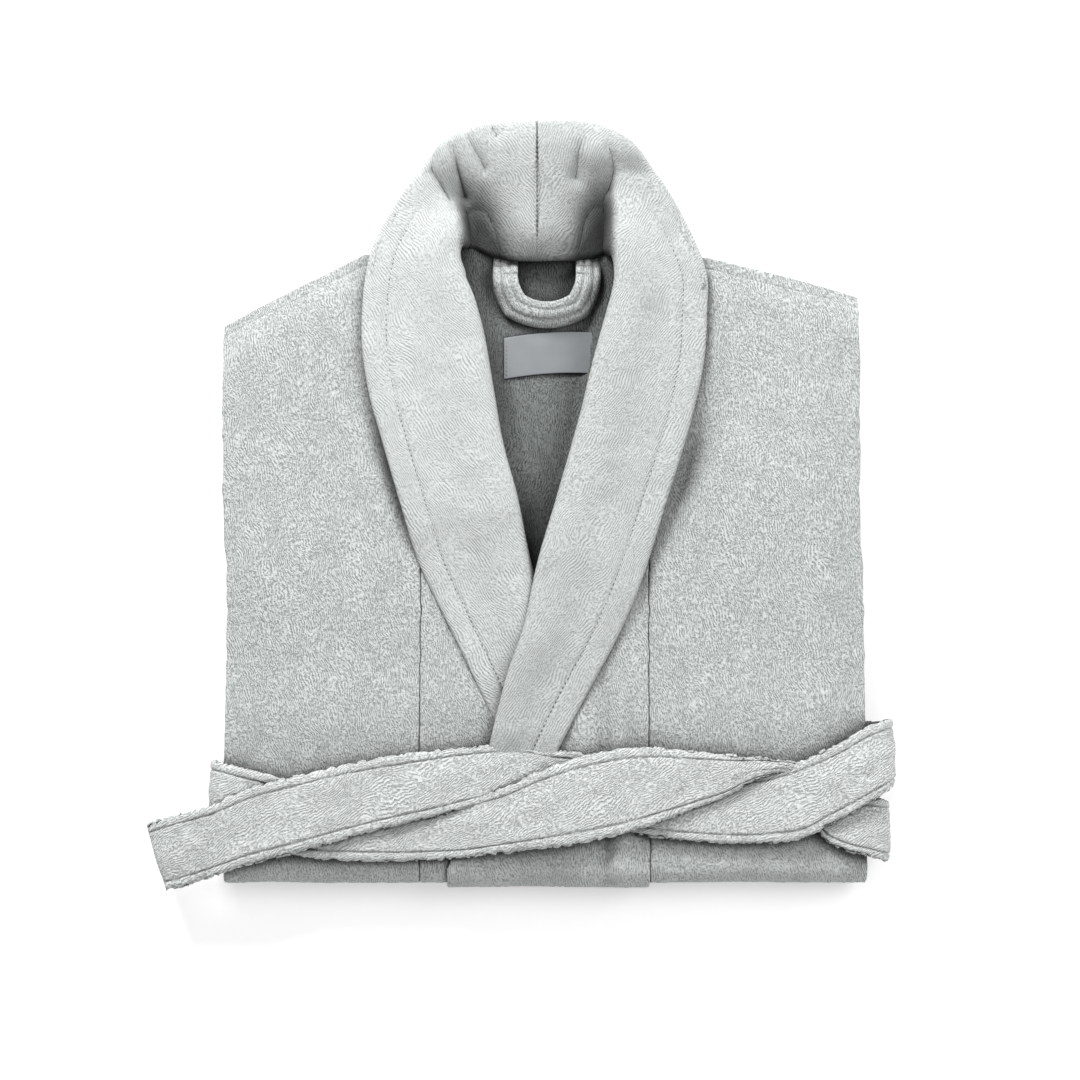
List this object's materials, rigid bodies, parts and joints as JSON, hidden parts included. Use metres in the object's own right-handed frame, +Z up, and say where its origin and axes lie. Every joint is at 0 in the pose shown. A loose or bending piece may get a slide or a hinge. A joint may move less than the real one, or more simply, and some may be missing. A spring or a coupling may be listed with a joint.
{
  "type": "bathrobe",
  "caption": "Folded shawl-collar towelling bathrobe with crossed lapels, a hanger loop, a blank neck label and a cloth belt wrapped round the pack.",
  "frame": {"origin": "on the surface under the folded pack, under the middle of the front band", "axes": "+Z up from that surface, +Y from the bottom fold towards the collar, +X towards the wearer's left"},
  "size_m": [0.5912, 0.611, 0.0554],
  "materials": {
    "towelling": "pale grey cotton pile, matt",
    "velour_collar": "pale grey sheared pile with a soft sheen",
    "belt_towelling": "pale grey looped pile, matt",
    "label_satin": "grey woven satin ribbon"
  },
  "bodies": {
    "robe": {"back_panel": "towelling", "right_front_panel": "towelling", "left_front_panel": "towelling", "right_front_band": "towelling", "left_front_band": "towelling", "right_upper_collar": "velour_collar", "left_upper_collar": "velour_collar", "right_under_collar": "towelling", "left_under_collar": "towelling", "right_sleeve": "towelling", "left_sleeve": "towelling", "right_cuff": "velour_collar", "left_cuff": "velour_collar", "right_pocket": "towelling", "left_pocket": "towelling", "right_belt_loop": "towelling", "left_belt_loop": "towelling", "hanger_loop_ends": "towelling", "neck_label": "label_satin"},
    "hanger_loop": {"hanger_loop": "towelling"},
    "belt": {"belt": "belt_towelling"},
    "belt_tail": {"belt_tail": "belt_towelling"}
  },
  "joints": [
    {"name": "hanger_loop_swing", "type": "hinge", "parent": "robe", "child": "hanger_loop", "pos_m": [0.008, 0.258, 0.03745], "axis": [-1, 0, 0], "range_deg": [0, 90]},
    {"name": "belt_slide_off", "type": "slide", "parent": "robe", "child": "belt", "axis": [0, -1, 0], "range_m": [0, 0.15]},
    {"name": "belt_tail_lift", "type": "hinge", "parent": "belt", "child": "belt_tail", "pos_m": [-0.2516, -0.188, 0.0508], "axis": [0, 1, 0], "range_deg": [0, 95]}
  ]
}
